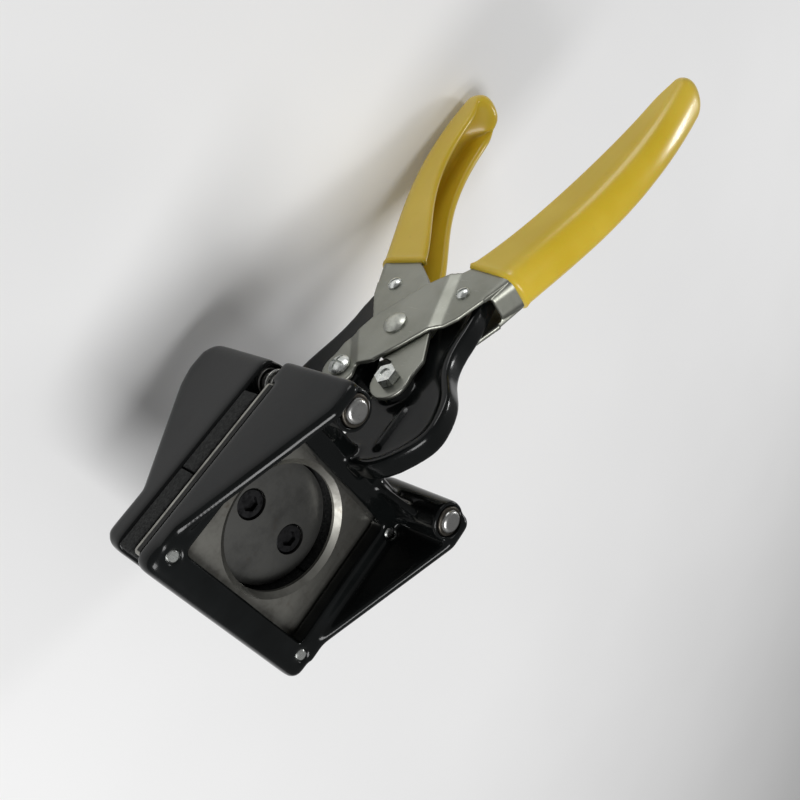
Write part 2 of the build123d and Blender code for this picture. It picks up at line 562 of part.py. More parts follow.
# Grips: soft plastic dipped over the channels, outside and inside, so that a groove stays open
GROOVE_DEEP = GRIP_SKIN + SHEET + GRIP_LINING       # the groove's floor lies this far under the back
for side_view, toward_rim, channel, name in (
        (upper_grip_side, UPPER_TO_RIM, upper_lever_channel, "upper_grip"),
        (lower_grip_side, LOWER_TO_RIM, lower_lever_channel, "lower_grip")):
    with BuildPart() as grip:
        with BuildSketch(side_plane(GRIP_HALF)):
            add(side_view)
        extrude(amount=2 * GRIP_HALF)
        long_edges = grip.edges().filter_by(Plane.XZ)
        fillet(long_edges.filter_by_position(Axis.X, -2 * FAR, GRIP_EDGE_FRONT), radius=GRIP_EDGE)
        with BuildSketch(side_plane(CHEEK_IN - GRIP_LINING)):
            add(side_view.moved(Location((toward_rim[0] * GROOVE_DEEP, toward_rim[1] * GROOVE_DEEP))))
            with Locations((GROOVE_END_X - FAR / 2, 0)):
                Rectangle(FAR, 2 * FAR, mode=Mode.SUBTRACT)
            with Locations((side_view.bounding_box().max.X, 0)):
                Rectangle(2, FAR)
        extrude(amount=2 * (CHEEK_IN - GRIP_LINING), mode=Mode.SUBTRACT)
        add(channel.part, mode=Mode.SUBTRACT)
    save(grip, name)


def headed_pin(x, z, side, shaft, head, head_height, face, end, slots):
    """A pin along Y with a domed, slotted head on one side; face is the seat of its head."""
    crown = face + head_height
    with BuildSketch(Plane(origin=(x, 0, z))) as half:
        with BuildLine():
            ThreePointArc((0, side * crown), (0.62 * head, side * (crown - 0.2 * head_height)),
                          (head, side * (face + 0.35 * head_height)))
            Polyline((head, side * (face + 0.35 * head_height)), (head, side * face), (shaft, side * face),
                     (shaft, -side * end), (0, -side * end), (0, side * crown))
        make_face()
    revolve(half.sketch, axis=Axis((x, 0, z), (0, 1, 0)))
    for turn in slots:
        with Locations(Location((x, side * (crown + 1 - 0.5 * head_height), z), (0, turn, 0))):
            Box(1.6 * head, 2, 0.9, mode=Mode.SUBTRACT)


def hex_nut(x, z, side, bore, across, height, face):
    """A hexagon nut along Y that sits on the face at this distance from the middle."""
    with BuildSketch(side_plane(side * face if side < 0 else face + height)) as outline:
        with Locations((x, z)):
            RegularPolygon(across / 2, 6, major_radius=False)
            Circle(bore, mode=Mode.SUBTRACT)
    extrude(outline.sketch, amount=height)


# Front pivots: a bolt with a cross-slotted head on one side, sunk in a hexagon nut on the other
PIVOT_FACE = CHEEK_OUT + LAP_GAP
PIVOT_HEAD, PIVOT_HEAD_HEIGHT = 4.25, 2.6
PIVOT_NUT_ACROSS, PIVOT_NUT_HEIGHT = 7.0, 3.2
PIVOT_END = PIVOT_FACE + PIVOT_NUT_HEIGHT - 0.6
for z, side, tag in ((LOWER_PIVOT_Z, -1, "lower"), (UPPER_PIVOT_Z, 1, "upper")):
    with BuildPart() as pivot_bolt:
        headed_pin(PIVOT_X, z, side, BOLT_RADIUS, PIVOT_HEAD, PIVOT_HEAD_HEIGHT, PIVOT_FACE,
                   PIVOT_END, (0, 90))
    save(pivot_bolt, f"{tag}_pivot_bolt")
    with BuildPart() as pivot_nut:
        hex_nut(PIVOT_X, z, -side, BOLT_RADIUS, PIVOT_NUT_ACROSS, PIVOT_NUT_HEIGHT, PIVOT_FACE)
    save(pivot_nut, f"{tag}_pivot_nut")

# Slide pins: each is held by both cheeks of its lever and runs in the slot of a tail
SLIDE_HEAD_HEIGHT = 1.8
SLIDE_SLOT_TURN = 35
SLIDE_NUT_ACROSS, SLIDE_NUT_HEIGHT = 5.5, 2.2
SLIDE_END = CHEEK_OUT + SLIDE_NUT_HEIGHT + 0.4
for z, head, tag in ((MID_Z + SLIDE_RISE, 2.6, "upper"), (MID_Z - SLIDE_RISE, 2.85, "lower")):
    with BuildPart() as slide_pin:
        headed_pin(SLIDE_X, z, -1, SLIDE_PIN_RADIUS, head, SLIDE_HEAD_HEIGHT, CHEEK_OUT,
                   SLIDE_END, (SLIDE_SLOT_TURN,))
    save(slide_pin, f"{tag}_slide_pin")
    with BuildPart() as slide_nut:
        hex_nut(SLIDE_X, z, 1, SLIDE_PIN_RADIUS, SLIDE_NUT_ACROSS, SLIDE_NUT_HEIGHT, CHEEK_OUT)
    save(slide_nut, f"{tag}_slide_nut")

# Centre rivet, domed at both ends, and the spacer tube on it between the inner cheeks
RIVET_HEAD, RIVET_HEAD_HEIGHT = 4.5, 2.2
SPACER_WALL = 1.6
with BuildPart() as centre_rivet:
    for side in (-1, 1):
        headed_pin(CENTRE_X, MID_Z, side, RIVET_RADIUS, RIVET_HEAD, RIVET_HEAD_HEIGHT, LAP_OUT, 0, ())
save(centre_rivet, "centre_rivet")
with BuildPart() as centre_spacer:
    with BuildSketch(side_plane(BOSS_HALF)):
        with Locations((CENTRE_X, MID_Z)):
            Circle(RIVET_RADIUS + SPACER_WALL)
            Circle(RIVET_RADIUS, mode=Mode.SUBTRACT)
    extrude(amount=2 * BOSS_HALF)
save(centre_spacer, "centre_spacer")
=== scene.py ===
"""Pliers that punch round paper discs for button badges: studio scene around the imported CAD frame.

Metres, +Z up through the die, +X to the nose, +Y to the left as seen by a hand on the grips.
"""
import math

import bmesh
import bpy
import numpy as np
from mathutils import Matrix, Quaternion, Vector


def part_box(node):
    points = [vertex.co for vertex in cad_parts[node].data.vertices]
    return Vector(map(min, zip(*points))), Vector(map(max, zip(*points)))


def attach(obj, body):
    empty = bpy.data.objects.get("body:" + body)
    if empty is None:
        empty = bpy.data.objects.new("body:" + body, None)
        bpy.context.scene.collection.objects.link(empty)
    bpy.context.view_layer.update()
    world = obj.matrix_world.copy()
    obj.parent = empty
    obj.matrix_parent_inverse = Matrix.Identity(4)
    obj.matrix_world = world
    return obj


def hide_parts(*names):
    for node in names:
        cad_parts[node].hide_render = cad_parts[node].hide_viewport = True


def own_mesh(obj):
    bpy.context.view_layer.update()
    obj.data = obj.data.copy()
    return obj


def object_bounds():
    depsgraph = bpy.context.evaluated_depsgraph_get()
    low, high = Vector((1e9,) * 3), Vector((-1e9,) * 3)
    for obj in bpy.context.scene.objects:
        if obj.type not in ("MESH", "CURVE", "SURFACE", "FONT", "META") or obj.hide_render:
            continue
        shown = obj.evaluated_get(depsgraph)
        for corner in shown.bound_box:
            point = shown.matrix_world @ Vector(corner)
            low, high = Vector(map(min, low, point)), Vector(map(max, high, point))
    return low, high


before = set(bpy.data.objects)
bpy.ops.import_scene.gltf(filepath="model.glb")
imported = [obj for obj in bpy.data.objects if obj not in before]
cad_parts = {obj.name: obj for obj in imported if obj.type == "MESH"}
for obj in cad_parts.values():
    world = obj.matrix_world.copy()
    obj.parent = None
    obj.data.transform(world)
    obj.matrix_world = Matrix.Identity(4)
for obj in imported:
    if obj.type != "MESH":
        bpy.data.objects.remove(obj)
cad_low, cad_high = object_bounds()


# ---- Camera: hand-held above the nose, on the tool's right side, with the handles leading away
# from it, and rolled so that they rise to the upper right.
MM = 0.001
CAMERA_PLACE = Vector((35.06, -179.07, 213.65)) * MM
CAMERA_AIM = Vector((-61.34, 9.57, 0.0)) * MM
CAMERA_ROLL = math.radians(106.23)
CAMERA_LENS_MM = 38.26

camera_data = bpy.data.cameras.new("camera")
camera_data.sensor_width = 36.0
camera_data.lens = CAMERA_LENS_MM
camera_data.clip_start = 0.01
camera = bpy.data.objects.new("camera", camera_data)
camera.location = CAMERA_PLACE
camera.rotation_mode = "QUATERNION"
level_look = (CAMERA_AIM - CAMERA_PLACE).to_track_quat("-Z", "Y")
camera.rotation_quaternion = level_look @ Quaternion((0, 0, 1), CAMERA_ROLL)
bpy.context.scene.collection.objects.link(camera)
bpy.context.scene.camera = camera


# ---- Black castings: pressure-cast zinc, fettled by hand, then dipped in thick glossy enamel that
# pools at the foot of every wall and thins on the ridges, where the metal begins to grin through.
CASTING_GRID = 0.60 * MM
CASTING_ROUNDING = 34


class Value:
    """A number socket in a material: +, - and * on it add the Math nodes."""

    def __init__(self, material, socket):
        self.material = material
        self.socket = socket

    def _math(self, operation, first, second):
        return self.material.node("ShaderNodeMath", [first, second], operation=operation)

    def __add__(self, other):
        return self._math("ADD", self, other)

    def __sub__(self, other):
        return self._math("SUBTRACT", self, other)

    def __rsub__(self, other):
        return self._math("SUBTRACT", other, self)

    def __mul__(self, other):
        return self._math("MULTIPLY", self, other)

    __radd__ = __add__
    __rmul__ = __mul__


class Finish:
    """One material: its principled shader, its coordinates, and the node method."""

    def __init__(self, name, **constants):
        self.material = bpy.data.materials.new(name)
        self.material.use_nodes = True
        self.tree = self.material.node_tree
        self.shader = self.tree.nodes["Principled BSDF"]
        for socket, value in constants.items():
            self.shader.inputs[socket.replace("_", " ")].default_value = value
        self.place = self.node("ShaderNodeTexCoord", [], output="Object")

    def node(self, kind, inputs, output=0, **settings):
        """Add a node: settings first, then a value or a link for each input, by order or by name."""
        made = self.tree.nodes.new(kind)
        for name, value in settings.items():
            setattr(made, name, value)
        pairs = inputs.items() if isinstance(inputs, dict) else enumerate(inputs)
        for key, value in pairs:
            if isinstance(value, Value):
                self.tree.links.new(value.socket, made.inputs[key])
            else:
                made.inputs[key].default_value = value
        return Value(self, made.outputs[output])

    def noise(self, scale, detail=3.0, roughness=0.55, where=None):
        """Fractal noise from 0 to 1, with scale in waves per metre."""
        return self.node("ShaderNodeTexNoise", {"Vector": where or self.place, "Scale": scale,
                                                "Detail": detail, "Roughness": roughness})

    def stretched(self, x, y, z):
        """Object coordinates with each axis multiplied, so that noise on them turns into streaks."""
        return self.node("ShaderNodeVectorMath", [self.place, (x, y, z)], operation="MULTIPLY")

    def ramp(self, factor, low, high):
        """0 below low, 1 above high, smooth between."""
        return self.node("ShaderNodeMapRange", {"Value": factor, "From Min": low, "From Max": high},
                         interpolation_type="SMOOTHSTEP")

    def mixed(self, factor, first, second):
        """A colour that goes from first to second."""
        return self.node("ShaderNodeMix", {0: factor, 6: first, 7: second}, output=2, data_type="RGBA")

    def bump(self, height, strength, distance):
        """A normal that follows a height."""
        return self.node("ShaderNodeBump", {"Height": height, "Strength": strength, "Distance": distance})

    def feed(self, **sockets):
        """Link what varies over the surface to the shader."""
        for name, value in sockets.items():
            self.tree.links.new(value.socket, self.shader.inputs[name.replace("_", " ")])
        return self.material


def merged_copy(name, node):
    """A CAD node's triangles as one joined mesh: equal corners, to a micrometre, become one vertex."""
    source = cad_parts[node].data
    points = np.empty(len(source.vertices) * 3)
    source.vertices.foreach_get("co", points)
    source.calc_loop_triangles()
    corners = np.empty(len(source.loop_triangles) * 3, int)
    source.loop_triangles.foreach_get("vertices", corners)
    keys = np.round(points.reshape(-1, 3) * 1e6).astype(int)
    unique, first, inverse = np.unique(keys, axis=0, return_index=True, return_inverse=True)
    faces = inverse.reshape(-1)[corners].reshape(-1, 3)
    whole = (faces[:, 0] != faces[:, 1]) & (faces[:, 1] != faces[:, 2]) & (faces[:, 2] != faces[:, 0])
    mesh = bpy.data.meshes.new(name)
    mesh.from_pydata(points.reshape(-1, 3)[first].tolist(), [], faces[whole].tolist())
    piece = bpy.data.objects.new(name, mesh)
    bpy.context.scene.collection.objects.link(piece)
    return piece


def rounded_over(piece, grid, passes):
    """Remesh a piece on a fine grid and relax it, which rounds every edge by about 2 to 3 cells."""
    remesh = piece.modifiers.new("remesh", "REMESH")
    remesh.mode = "VOXEL"
    remesh.voxel_size = grid
    remesh.use_smooth_shade = True
    relax = piece.modifiers.new("relax", "SMOOTH")
    relax.factor = 0.5
    relax.iterations = passes
    return piece


def settled(piece):
    """Apply a piece's modifiers, so that its mesh is final."""
    bpy.context.view_layer.update()
    graph = bpy.context.evaluated_depsgraph_get()
    done = bpy.data.meshes.new_from_object(piece.evaluated_get(graph))
    piece.modifiers.clear()
    piece.data = done
    return piece


def shown_as(piece, body, slot, material, *nodes):
    """Give a piece its material, and let it ride and stand for its CAD nodes."""
    piece.data.materials.clear()
    piece.data.materials.append(material)
    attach(piece, body)
    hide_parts(*nodes)
    return piece


def black_enamel(name, gloss, grain):
    """Thick black enamel: slow orange peel, fine dust under the coat, and worn, greyer patches."""
    finish = Finish(name, Specular_IOR_Level=0.17, Coat_Roughness=0.06)
    peel = finish.noise(420.0, 2.0)
    dust = finish.noise(5200.0, 1.0)
    handled = finish.ramp(finish.noise(38.0, 4.0), 0.42, 0.74)
    speck = finish.ramp(dust, 0.70, 0.80)
    colour = finish.mixed(handled, (0.0028, 0.0034, 0.0034, 1), (0.0062, 0.0072, 0.0074, 1))
    colour = finish.mixed(speck * 0.4, colour, (0.030, 0.032, 0.032, 1))
    normal = finish.bump(peel * 0.7 + dust * grain, 0.30, 0.00014)
    return finish.feed(Base_Color=colour, Roughness=handled * 0.08 + speck * 0.2 + gloss,
                       Coat_Weight=0.20 - handled * 0.08, Normal=normal)


die_enamel = black_enamel("black_enamel", 0.17, 0.06)
punch_enamel = black_enamel("satin_black_enamel", 0.22, 0.18)
die_casting = rounded_over(merged_copy("die_casting", "die_carrier"), CASTING_GRID, CASTING_ROUNDING)
shown_as(die_casting, "die_jaw", "black_casting", die_enamel, "die_carrier")
punch_casting = rounded_over(merged_copy("punch_casting", "punch_carrier"), CASTING_GRID, CASTING_ROUNDING)
shown_as(punch_casting, "punch_jaw", "black_casting", punch_enamel, "punch_carrier")


# ---- Die plate and punch: hardened tool steel, ground along the plate's length, then bored, turned
# and relieved on a lathe; both darken with oil and fingers, and the plate's long sides next to the black
# frame carry painted shade.
SIDE_FACE = 38.05 * MM        # the plate's long sides, painted dark as shade above their ground foot


def ground_steel(name, dark, light, grind, rust):
    """Ground steel: long grinding lines along X, turned rings about the bore, and oil stains.

    The distance from the bore's axis is the length of (x, y, 0). The long sides carry painted shade where the
    distance |y| reaches the side face, above the plate's ground foot.
    """
    finish = Finish(name, Metallic=1.0)
    lines = finish.noise(1.0, 4.0, 0.7, finish.stretched(120.0, 5200.0, 900.0))
    stain = finish.noise(95.0, 5.0, 0.62)
    flat = finish.stretched(1.0, 1.0, 0.0)
    radius = finish.node("ShaderNodeVectorMath", [flat], output="Value", operation="LENGTH")
    rings = finish.noise(1.0, 2.0, 0.6, finish.node("ShaderNodeCombineXYZ", [radius * 5200.0, 0.0, 0.0]))
    stained = finish.ramp(stain, 0.38, 0.72)
    colour = finish.mixed(stained, light, dark)
    colour = finish.mixed(finish.ramp(finish.noise(240.0, 3.0), 0.60, 0.80) * rust, colour,
                          (0.105, 0.072, 0.045, 1))
    marks = lines * (1.0 - grind) + rings * grind
    apart = finish.node("ShaderNodeSeparateXYZ", [finish.place], output="Y")
    height = finish.node("ShaderNodeSeparateXYZ", [finish.place], output="Z")
    off_side = finish.node("ShaderNodeMath", [apart], operation="ABSOLUTE")
    # painted shade: the plate's long side faces, in the gap between the jaws, are coloured near black above
    # their foot
    painted_side_shade = finish.ramp(off_side, SIDE_FACE - 0.15 * MM, SIDE_FACE) * finish.ramp(height, 0.7 * MM, 1.1 * MM)
    colour = finish.mixed(painted_side_shade, colour, (0.022, 0.022, 0.021, 1))
    return finish.feed(Base_Color=colour, Roughness=marks * 0.22 + stained * 0.10 + 0.26,
                       Normal=finish.bump(marks, 0.22, 0.00004))


def repaint(node, material):
    """Put a material on every slot of a CAD node."""
    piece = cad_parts[node]
    if not piece.material_slots:
        piece.data.materials.append(material)
    for place in piece.material_slots:
        place.material = material


repaint("die_plate", ground_steel("die_plate_steel", (0.16, 0.155, 0.14, 1), (0.34, 0.335, 0.305, 1),
                                  0.25, 0.55))
repaint("punch", ground_steel("punch_steel", (0.10, 0.10, 0.096, 1), (0.20, 0.20, 0.19, 1), 0.8, 0.25))


# ---- Screws, bolts, nuts, posts and bushes: headed and rolled steel with zinc plating that clouds
# over, ground and polished posts, turned bushes pressed into the columns, and black cap screws.
def plated(name, dark, light, rough, speckled=0.6):
    """Plated fastener: fine turning marks, cloudy plating and a few dark specks scattered at random."""
    finish = Finish(name, Metallic=1.0)
    turning = finish.noise(1.0, 2.0, 0.6, finish.stretched(2600.0, 900.0, 2600.0))
    cloud = finish.ramp(finish.noise(520.0, 4.0), 0.35, 0.70)
    specks = finish.ramp(finish.noise(1900.0, 2.0), 0.64, 0.74)
    colour = finish.mixed(cloud, light, dark)
    colour = finish.mixed(specks * speckled, colour, (0.05, 0.048, 0.042, 1))
    return finish.feed(Base_Color=colour, Roughness=turning * 0.16 + cloud * 0.12 + rough,
                       Normal=finish.bump(turning, 0.2, 0.00003))


zinc = plated("zinc_plating", (0.56, 0.58, 0.56, 1), (0.84, 0.86, 0.83, 1), 0.16, 0.45)
polished = plated("polished_post", (0.38, 0.38, 0.37, 1), (0.47, 0.47, 0.46, 1), 0.20, 0.15)
bronze = plated("turned_bush", (0.050, 0.046, 0.040, 1), (0.11, 0.10, 0.085, 1), 0.30, 0.5)
oxide = plated("black_oxide", (0.014, 0.014, 0.015, 1), (0.045, 0.045, 0.047, 1), 0.34)
for node in ("lower_pivot_bolt", "lower_pivot_nut", "upper_pivot_bolt", "upper_pivot_nut",
             "upper_slide_pin", "upper_slide_nut", "lower_slide_pin", "lower_slide_nut", "die_plate_screws"):
    repaint(node, zinc)
for node in ("guide_post_left", "guide_post_right"):
    repaint(node, polished)
for node in ("guide_bush_left", "guide_bush_right", "centre_spacer"):
    repaint(node, bronze)
repaint("punch_screws", oxide)


# ---- Levers: blanked and bent from thick sheet into channels, tumbled until their edges are soft,
# and plated in a warm satin grey nickel, with fine scratches along the handles.
LEVER_GRID = 0.46 * MM
LEVER_ROUNDING = 3
SKIN = 1.3 * MM               # plastic over the channel's back
BEND_RADIUS = 4.4 * MM
CHANNEL_HALF = 7.5 * MM
STEEL_END = -192.0 * MM       # the steel stops here, well inside the grips
BACKS = {"upper": np.array([(-107.3, 30.0), (-128.0, 37.6), (-150.0, 44.2), (-176.0, 47.6),
                            (-205.0, 46.2), (-214.8, 44.9)]) * MM,
         "lower": np.array([(-107.6, -39.2), (-128.0, -48.5), (-149.0, -57.5), (-176.0, -65.2),
                            (-204.0, -67.3), (-214.2, -66.6)]) * MM}
RIMS = {"upper": np.array([(-110.8, 7.2), (-124.0, 15.0), (-150.0, 24.6), (-178.0, 32.2),
                           (-204.0, 35.3), (-216.0, 35.6)]) * MM,
        "lower": np.array([(-110.7, -15.2), (-122.0, -21.4), (-144.0, -35.8), (-170.0, -47.2),
                           (-203.0, -52.5), (-214.8, -53.4)]) * MM}


def smooth_line(points, share):
    """A handle's edge: a degree 4 polynomial in the share of the way, fitted to its points."""
    steps = np.r_[0.0, np.cumsum(np.hypot(*np.diff(points, axis=0).T))]
    steps /= steps[-1]
    return np.stack([np.polyval(np.polyfit(steps, points[:, axis], 4), share) for axis in (0, 1)], -1)


def bent_back(piece, back, half_width):
    """Round a channel's square back: about each corner's centre, square shells become round ones.

    With u and v the distances from that centre along Y and towards the back, a point in the corner
    is scaled by max(u, v) / hypot(u, v), so the outside and the inside turn into concentric arcs.
    """
    mesh = piece.data
    flat = np.empty(len(mesh.vertices) * 3)
    mesh.vertices.foreach_get("co", flat)
    points = flat.reshape(-1, 3)
    line = smooth_line(back, np.linspace(-0.09, 1.0, 500))
    run = np.gradient(line, axis=0)
    run /= np.hypot(*run.T)[:, None]
    towards = np.sign(-back[0, 1])
    inward = np.stack([run[:, 1], -run[:, 0]], 1)
    inward *= np.sign(inward[:, 1:]) * towards
    chosen = np.nonzero(points[:, 0] < line[0, 0])[0]
    place = points[chosen][:, [0, 2]]
    nearest = np.argmin(((place[:, None] - line[None]) ** 2).sum(-1), 1)
    depth = ((place - line[nearest]) * inward[nearest]).sum(1) - SKIN
    side = points[chosen, 1]
    u = np.abs(side) - (half_width - BEND_RADIUS)
    v = BEND_RADIUS - depth
    corner = (u > 0) & (v > 0)
    scale = np.where(corner, np.maximum(u, v) / np.maximum(np.hypot(u, v), 1e-9), 1.0)
    moved_in = (v - v * scale)[:, None] * inward[nearest]
    points[chosen, 0] += np.where(corner, moved_in[:, 0], 0.0)
    points[chosen, 2] += np.where(corner, moved_in[:, 1], 0.0)
    points[chosen, 1] = np.where(corner, np.sign(side) * (half_width - BEND_RADIUS + u * scale), side)
    mesh.vertices.foreach_set("co", points.ravel())
    mesh.update()
    return piece


def shortened(piece, end_x):
    """Cut a channel off square inside its grip and close the cut."""
    shell = bmesh.new()
    shell.from_mesh(piece.data)
    everything = shell.verts[:] + shell.edges[:] + shell.faces[:]
    bmesh.ops.bisect_plane(shell, geom=everything, plane_co=(end_x, 0, 0), plane_no=(-1, 0, 0),
                           clear_outer=True)
    bmesh.ops.holes_fill(shell, edges=[edge for edge in shell.edges if edge.is_boundary])
    shell.to_mesh(piece.data)
    shell.free()
    return piece


def lever_plating():
    """Satin nickel on rolled sheet: streaks along X, a few crossing scratches and faint smudges."""
    finish = Finish("lever_plating", Metallic=1.0)
    rolled = finish.noise(1.0, 4.0, 0.65, finish.stretched(140.0, 500.0, 3400.0))
    crossed = finish.noise(1.0, 3.0, 0.6, finish.stretched(2600.0, 500.0, 160.0))
    smudge = finish.ramp(finish.noise(60.0, 4.0, 0.5), 0.35, 0.75)
    scratch = finish.ramp(crossed, 0.66, 0.70) * 0.35
    colour = finish.mixed(smudge, (0.315, 0.32, 0.285, 1), (0.255, 0.26, 0.225, 1))
    colour = finish.mixed(scratch, colour, (0.50, 0.50, 0.46, 1))
    return finish.feed(Base_Color=colour, Roughness=rolled * 0.20 + smudge * 0.05 + 0.30,
                       Normal=finish.bump(rolled * 0.7 + crossed * 0.3, 0.22, 0.00004))


lever_steel = lever_plating()
for tag in ("upper", "lower"):
    node = f"{tag}_lever_channel"
    channel = settled(rounded_over(merged_copy(f"{tag}_lever_sheet", node), LEVER_GRID, LEVER_ROUNDING))
    shortened(bent_back(channel, BACKS[tag], CHANNEL_HALF), STEEL_END)
    shown_as(channel, f"{tag}_lever", "lever_steel", lever_steel, node)
repaint("centre_rivet", plated("rivet_steel", (0.42, 0.43, 0.39, 1), (0.54, 0.55, 0.50, 1), 0.24, 0.2))


# ---- Grips: the handles are dipped twice in soft PVC, which leaves a thick skin with a round back,
# soft lips along the open side and a thicker collar where the dip ended.
GRIP_HALF = 8.8 * MM
LIP = 3.5 * MM                # thickness of the wall: two skins and the sheet between them
COLLAR = 0.45 * MM            # how far the collar at the mouth stands proud
BELLY = 0.3 * MM              # how much wider a grip is in the middle of its length
BACK_POWER, TIP_POWER = 2.2, 2.3      # 2 is a circle, and more is squarer
DOME_START, GROOVE_FADE, GROOVE_FADE_LENGTH = 0.928, 0.80, 0.17   # shares of the grip's length
SECTIONS, BACK_STEPS, WALL_STEPS, LIP_STEPS = 170, 28, 8, 9


def arc_down(steps, power):
    """Quarter of a superellipse from (1, 0) to (0, 1): cosine and sine to the power 2 / power."""
    turn = np.linspace(0, np.pi / 2, steps)
    return np.cos(turn) ** (2 / power), np.sin(turn) ** (2 / power)


def half_section(width, depth, lip, closed_up):
    """Half of a grip's section at every station, from the middle of its back round to its groove.

    The back is a superellipse quarter as wide as the grip, then comes the straight wall, a half
    circle for the lip, the wall of the groove and a superellipse quarter for the groove's floor.
    By the share closed_up these points move to a superellipse quarter that has no groove.
    Each argument holds one value for each station; the result is (across, down) for each of them.
    """
    width, depth, lip, closed_up = (value[:, None] for value in (width, depth, lip, closed_up))
    across, along = arc_down(BACK_STEPS, BACK_POWER)
    shoulder = np.minimum(width, 0.55 * depth)
    back_y, back_q = width * across[None, ::-1], shoulder * (1 - along[None, ::-1])
    foot = lip / 2 + (0.42 * depth - lip / 2) * closed_up
    wall_end = np.maximum(depth - foot, shoulder)
    share = np.linspace(0, 1, WALL_STEPS + 2)[None, 1:-1]
    wall_q = shoulder + (wall_end - shoulder) * share
    turn = np.linspace(0, np.pi, LIP_STEPS)[None]
    lip_y = width - lip / 2 + lip / 2 * np.cos(turn)
    lip_q = depth - lip / 2 + lip / 2 * np.sin(turn)
    inner = width - lip
    groove_end = lip + 0.75 * inner
    inner_q = depth - lip / 2 + (groove_end - depth + lip / 2) * share
    floor_y, floor_q = inner * across[None], groove_end - 0.75 * inner * along[None]
    open_y = np.concatenate([lip_y, inner + 0 * inner_q, floor_y], 1)
    open_q = np.concatenate([lip_q, inner_q, floor_q], 1)
    round_y, round_q = arc_down(open_y.shape[1], TIP_POWER)
    shut_y, shut_q = width * round_y[None], wall_end + (depth - wall_end) * round_q[None]
    y = np.concatenate([back_y, width + 0 * wall_q, open_y + (shut_y - open_y) * closed_up], 1)
    q = np.concatenate([back_q, wall_q, open_q + (shut_q - open_q) * closed_up], 1)
    return y, q


def grip_skin(name, back, rim):
    """A dipped grip: its half section, mirrored, carried from the mouth to a domed, closed tip.

    At share s of the way the section lies between the back's and the rim's curves. Its skin swells
    by a bell curve at the collar. Past the dome's start it shrinks as the square root of 1 - t
    squared, which makes the round tip, and the groove fades out by a smooth step before the end.
    """
    s = 1 - (1 - np.linspace(0, 1, SECTIONS)) ** 1.6
    top, bottom = smooth_line(back, s), smooth_line(rim, s)
    down = bottom - top
    depth = np.hypot(*down.T)
    down /= depth[:, None]
    length = np.hypot(*np.diff(top, axis=0).T).sum()
    way = s * length
    collar = COLLAR * np.exp(-((way - 1.2 * MM) / (0.9 * MM)) ** 2)
    mouth_edge = -0.6 * MM * (1 - np.sqrt(1 - np.clip(1 - way / (0.7 * MM), 0, 1) ** 2))
    swell = collar + mouth_edge
    tip = np.clip((s - DOME_START) / (1 - DOME_START), 0, 1)
    dome = np.sqrt(np.clip(1 - tip ** 2, 0, 1))
    run_out = np.clip((s - GROOVE_FADE) / GROOVE_FADE_LENGTH, 0, 1)
    run_out = run_out * run_out * (3 - 2 * run_out)
    width = GRIP_HALF + swell + BELLY * np.sin(np.pi * s)
    y, q = half_section(width, depth + 2 * swell, LIP + swell * 2, run_out)
    q -= swell[:, None]
    middle = (depth / 2)[:, None]
    y *= dome[:, None]
    q = middle + (q - middle) * dome[:, None]
    y = np.concatenate([y, -y[:, -2:0:-1]], 1)
    q = np.concatenate([q, q[:, -2:0:-1]], 1)
    around = y.shape[1]
    grid = np.stack([top[:, :1] + down[:, :1] * q, y, top[:, 1:] + down[:, 1:] * q], -1)
    end = grid[-1].mean(0)
    i, j = np.meshgrid(np.arange(SECTIONS - 2), np.arange(around), indexing="ij")
    k = (j + 1) % around
    quads = np.stack([i * around + j, i * around + k, (i + 1) * around + k, (i + 1) * around + j], -1)
    ring = np.arange(around)
    last = (SECTIONS - 2) * around
    pole = (SECTIONS - 1) * around
    fan = np.stack([last + ring, last + (ring + 1) % around, np.full(around, pole)], 1)
    points = np.concatenate([grid[:-1].reshape(-1, 3), end[None]])
    mesh = bpy.data.meshes.new(name)
    mesh.from_pydata(points.tolist(), [], quads.reshape(-1, 4).tolist() + fan.tolist())
    piece = bpy.data.objects.new(name, mesh)
    bpy.context.scene.collection.objects.link(piece)
    return closed(piece)


def closed(piece):
    """Fill the open mouth of a skin and turn every face outwards."""
    shell = bmesh.new()
    shell.from_mesh(piece.data)
    bmesh.ops.remove_doubles(shell, verts=shell.verts, dist=1e-7)
    rim = [edge for edge in shell.edges if edge.is_boundary]
    bmesh.ops.triangle_fill(shell, use_beauty=True, edges=rim)
    bmesh.ops.recalc_face_normals(shell, faces=shell.faces)
    shell.to_mesh(piece.data)
    shell.free()
    piece.data.shade_smooth()
    return piece


def dipped_vinyl():
    """Yellow PVC: slow ripples from the dip, faint flow lines, and random patches of grime."""
    finish = Finish("dipped_vinyl", Specular_IOR_Level=0.36, Subsurface_Weight=0.12, Subsurface_Scale=0.002,
                    Coat_Roughness=0.14)
    ripple = finish.noise(70.0, 2.0)
    pores = finish.noise(2600.0, 2.0)
    tone = finish.ramp(finish.noise(26.0, 3.0), 0.35, 0.70)
    grime = finish.ramp(finish.noise(300.0, 5.0, 0.65), 0.60, 0.82)
    colour = finish.mixed(tone, (0.60, 0.42, 0.022, 1), (0.66, 0.475, 0.040, 1))
    colour = finish.mixed(grime * 0.25, colour, (0.36, 0.25, 0.05, 1))
    return finish.feed(Base_Color=colour, Roughness=grime * 0.15 + tone * 0.05 + 0.30,
                       Coat_Weight=0.22 - grime * 0.15,
                       Normal=finish.bump(ripple + pores * 0.04, 0.25, 0.0004))


vinyl = dipped_vinyl()
for tag in ("upper", "lower"):
    grip = grip_skin(f"{tag}_grip_skin", BACKS[tag], RIMS[tag])
    shown_as(grip, f"{tag}_lever", "grip_yellow", vinyl, f"{tag}_grip")


# ---- Stripper pads: cellular rubber sawn into strips, with torn pores on the cut faces; they push
# the paper off the punch and flatten each time the jaws close.
PAD_GRID = 0.8 * MM
PAD_TEAR = 0.35 * MM          # depth of the roughness on the sawn faces


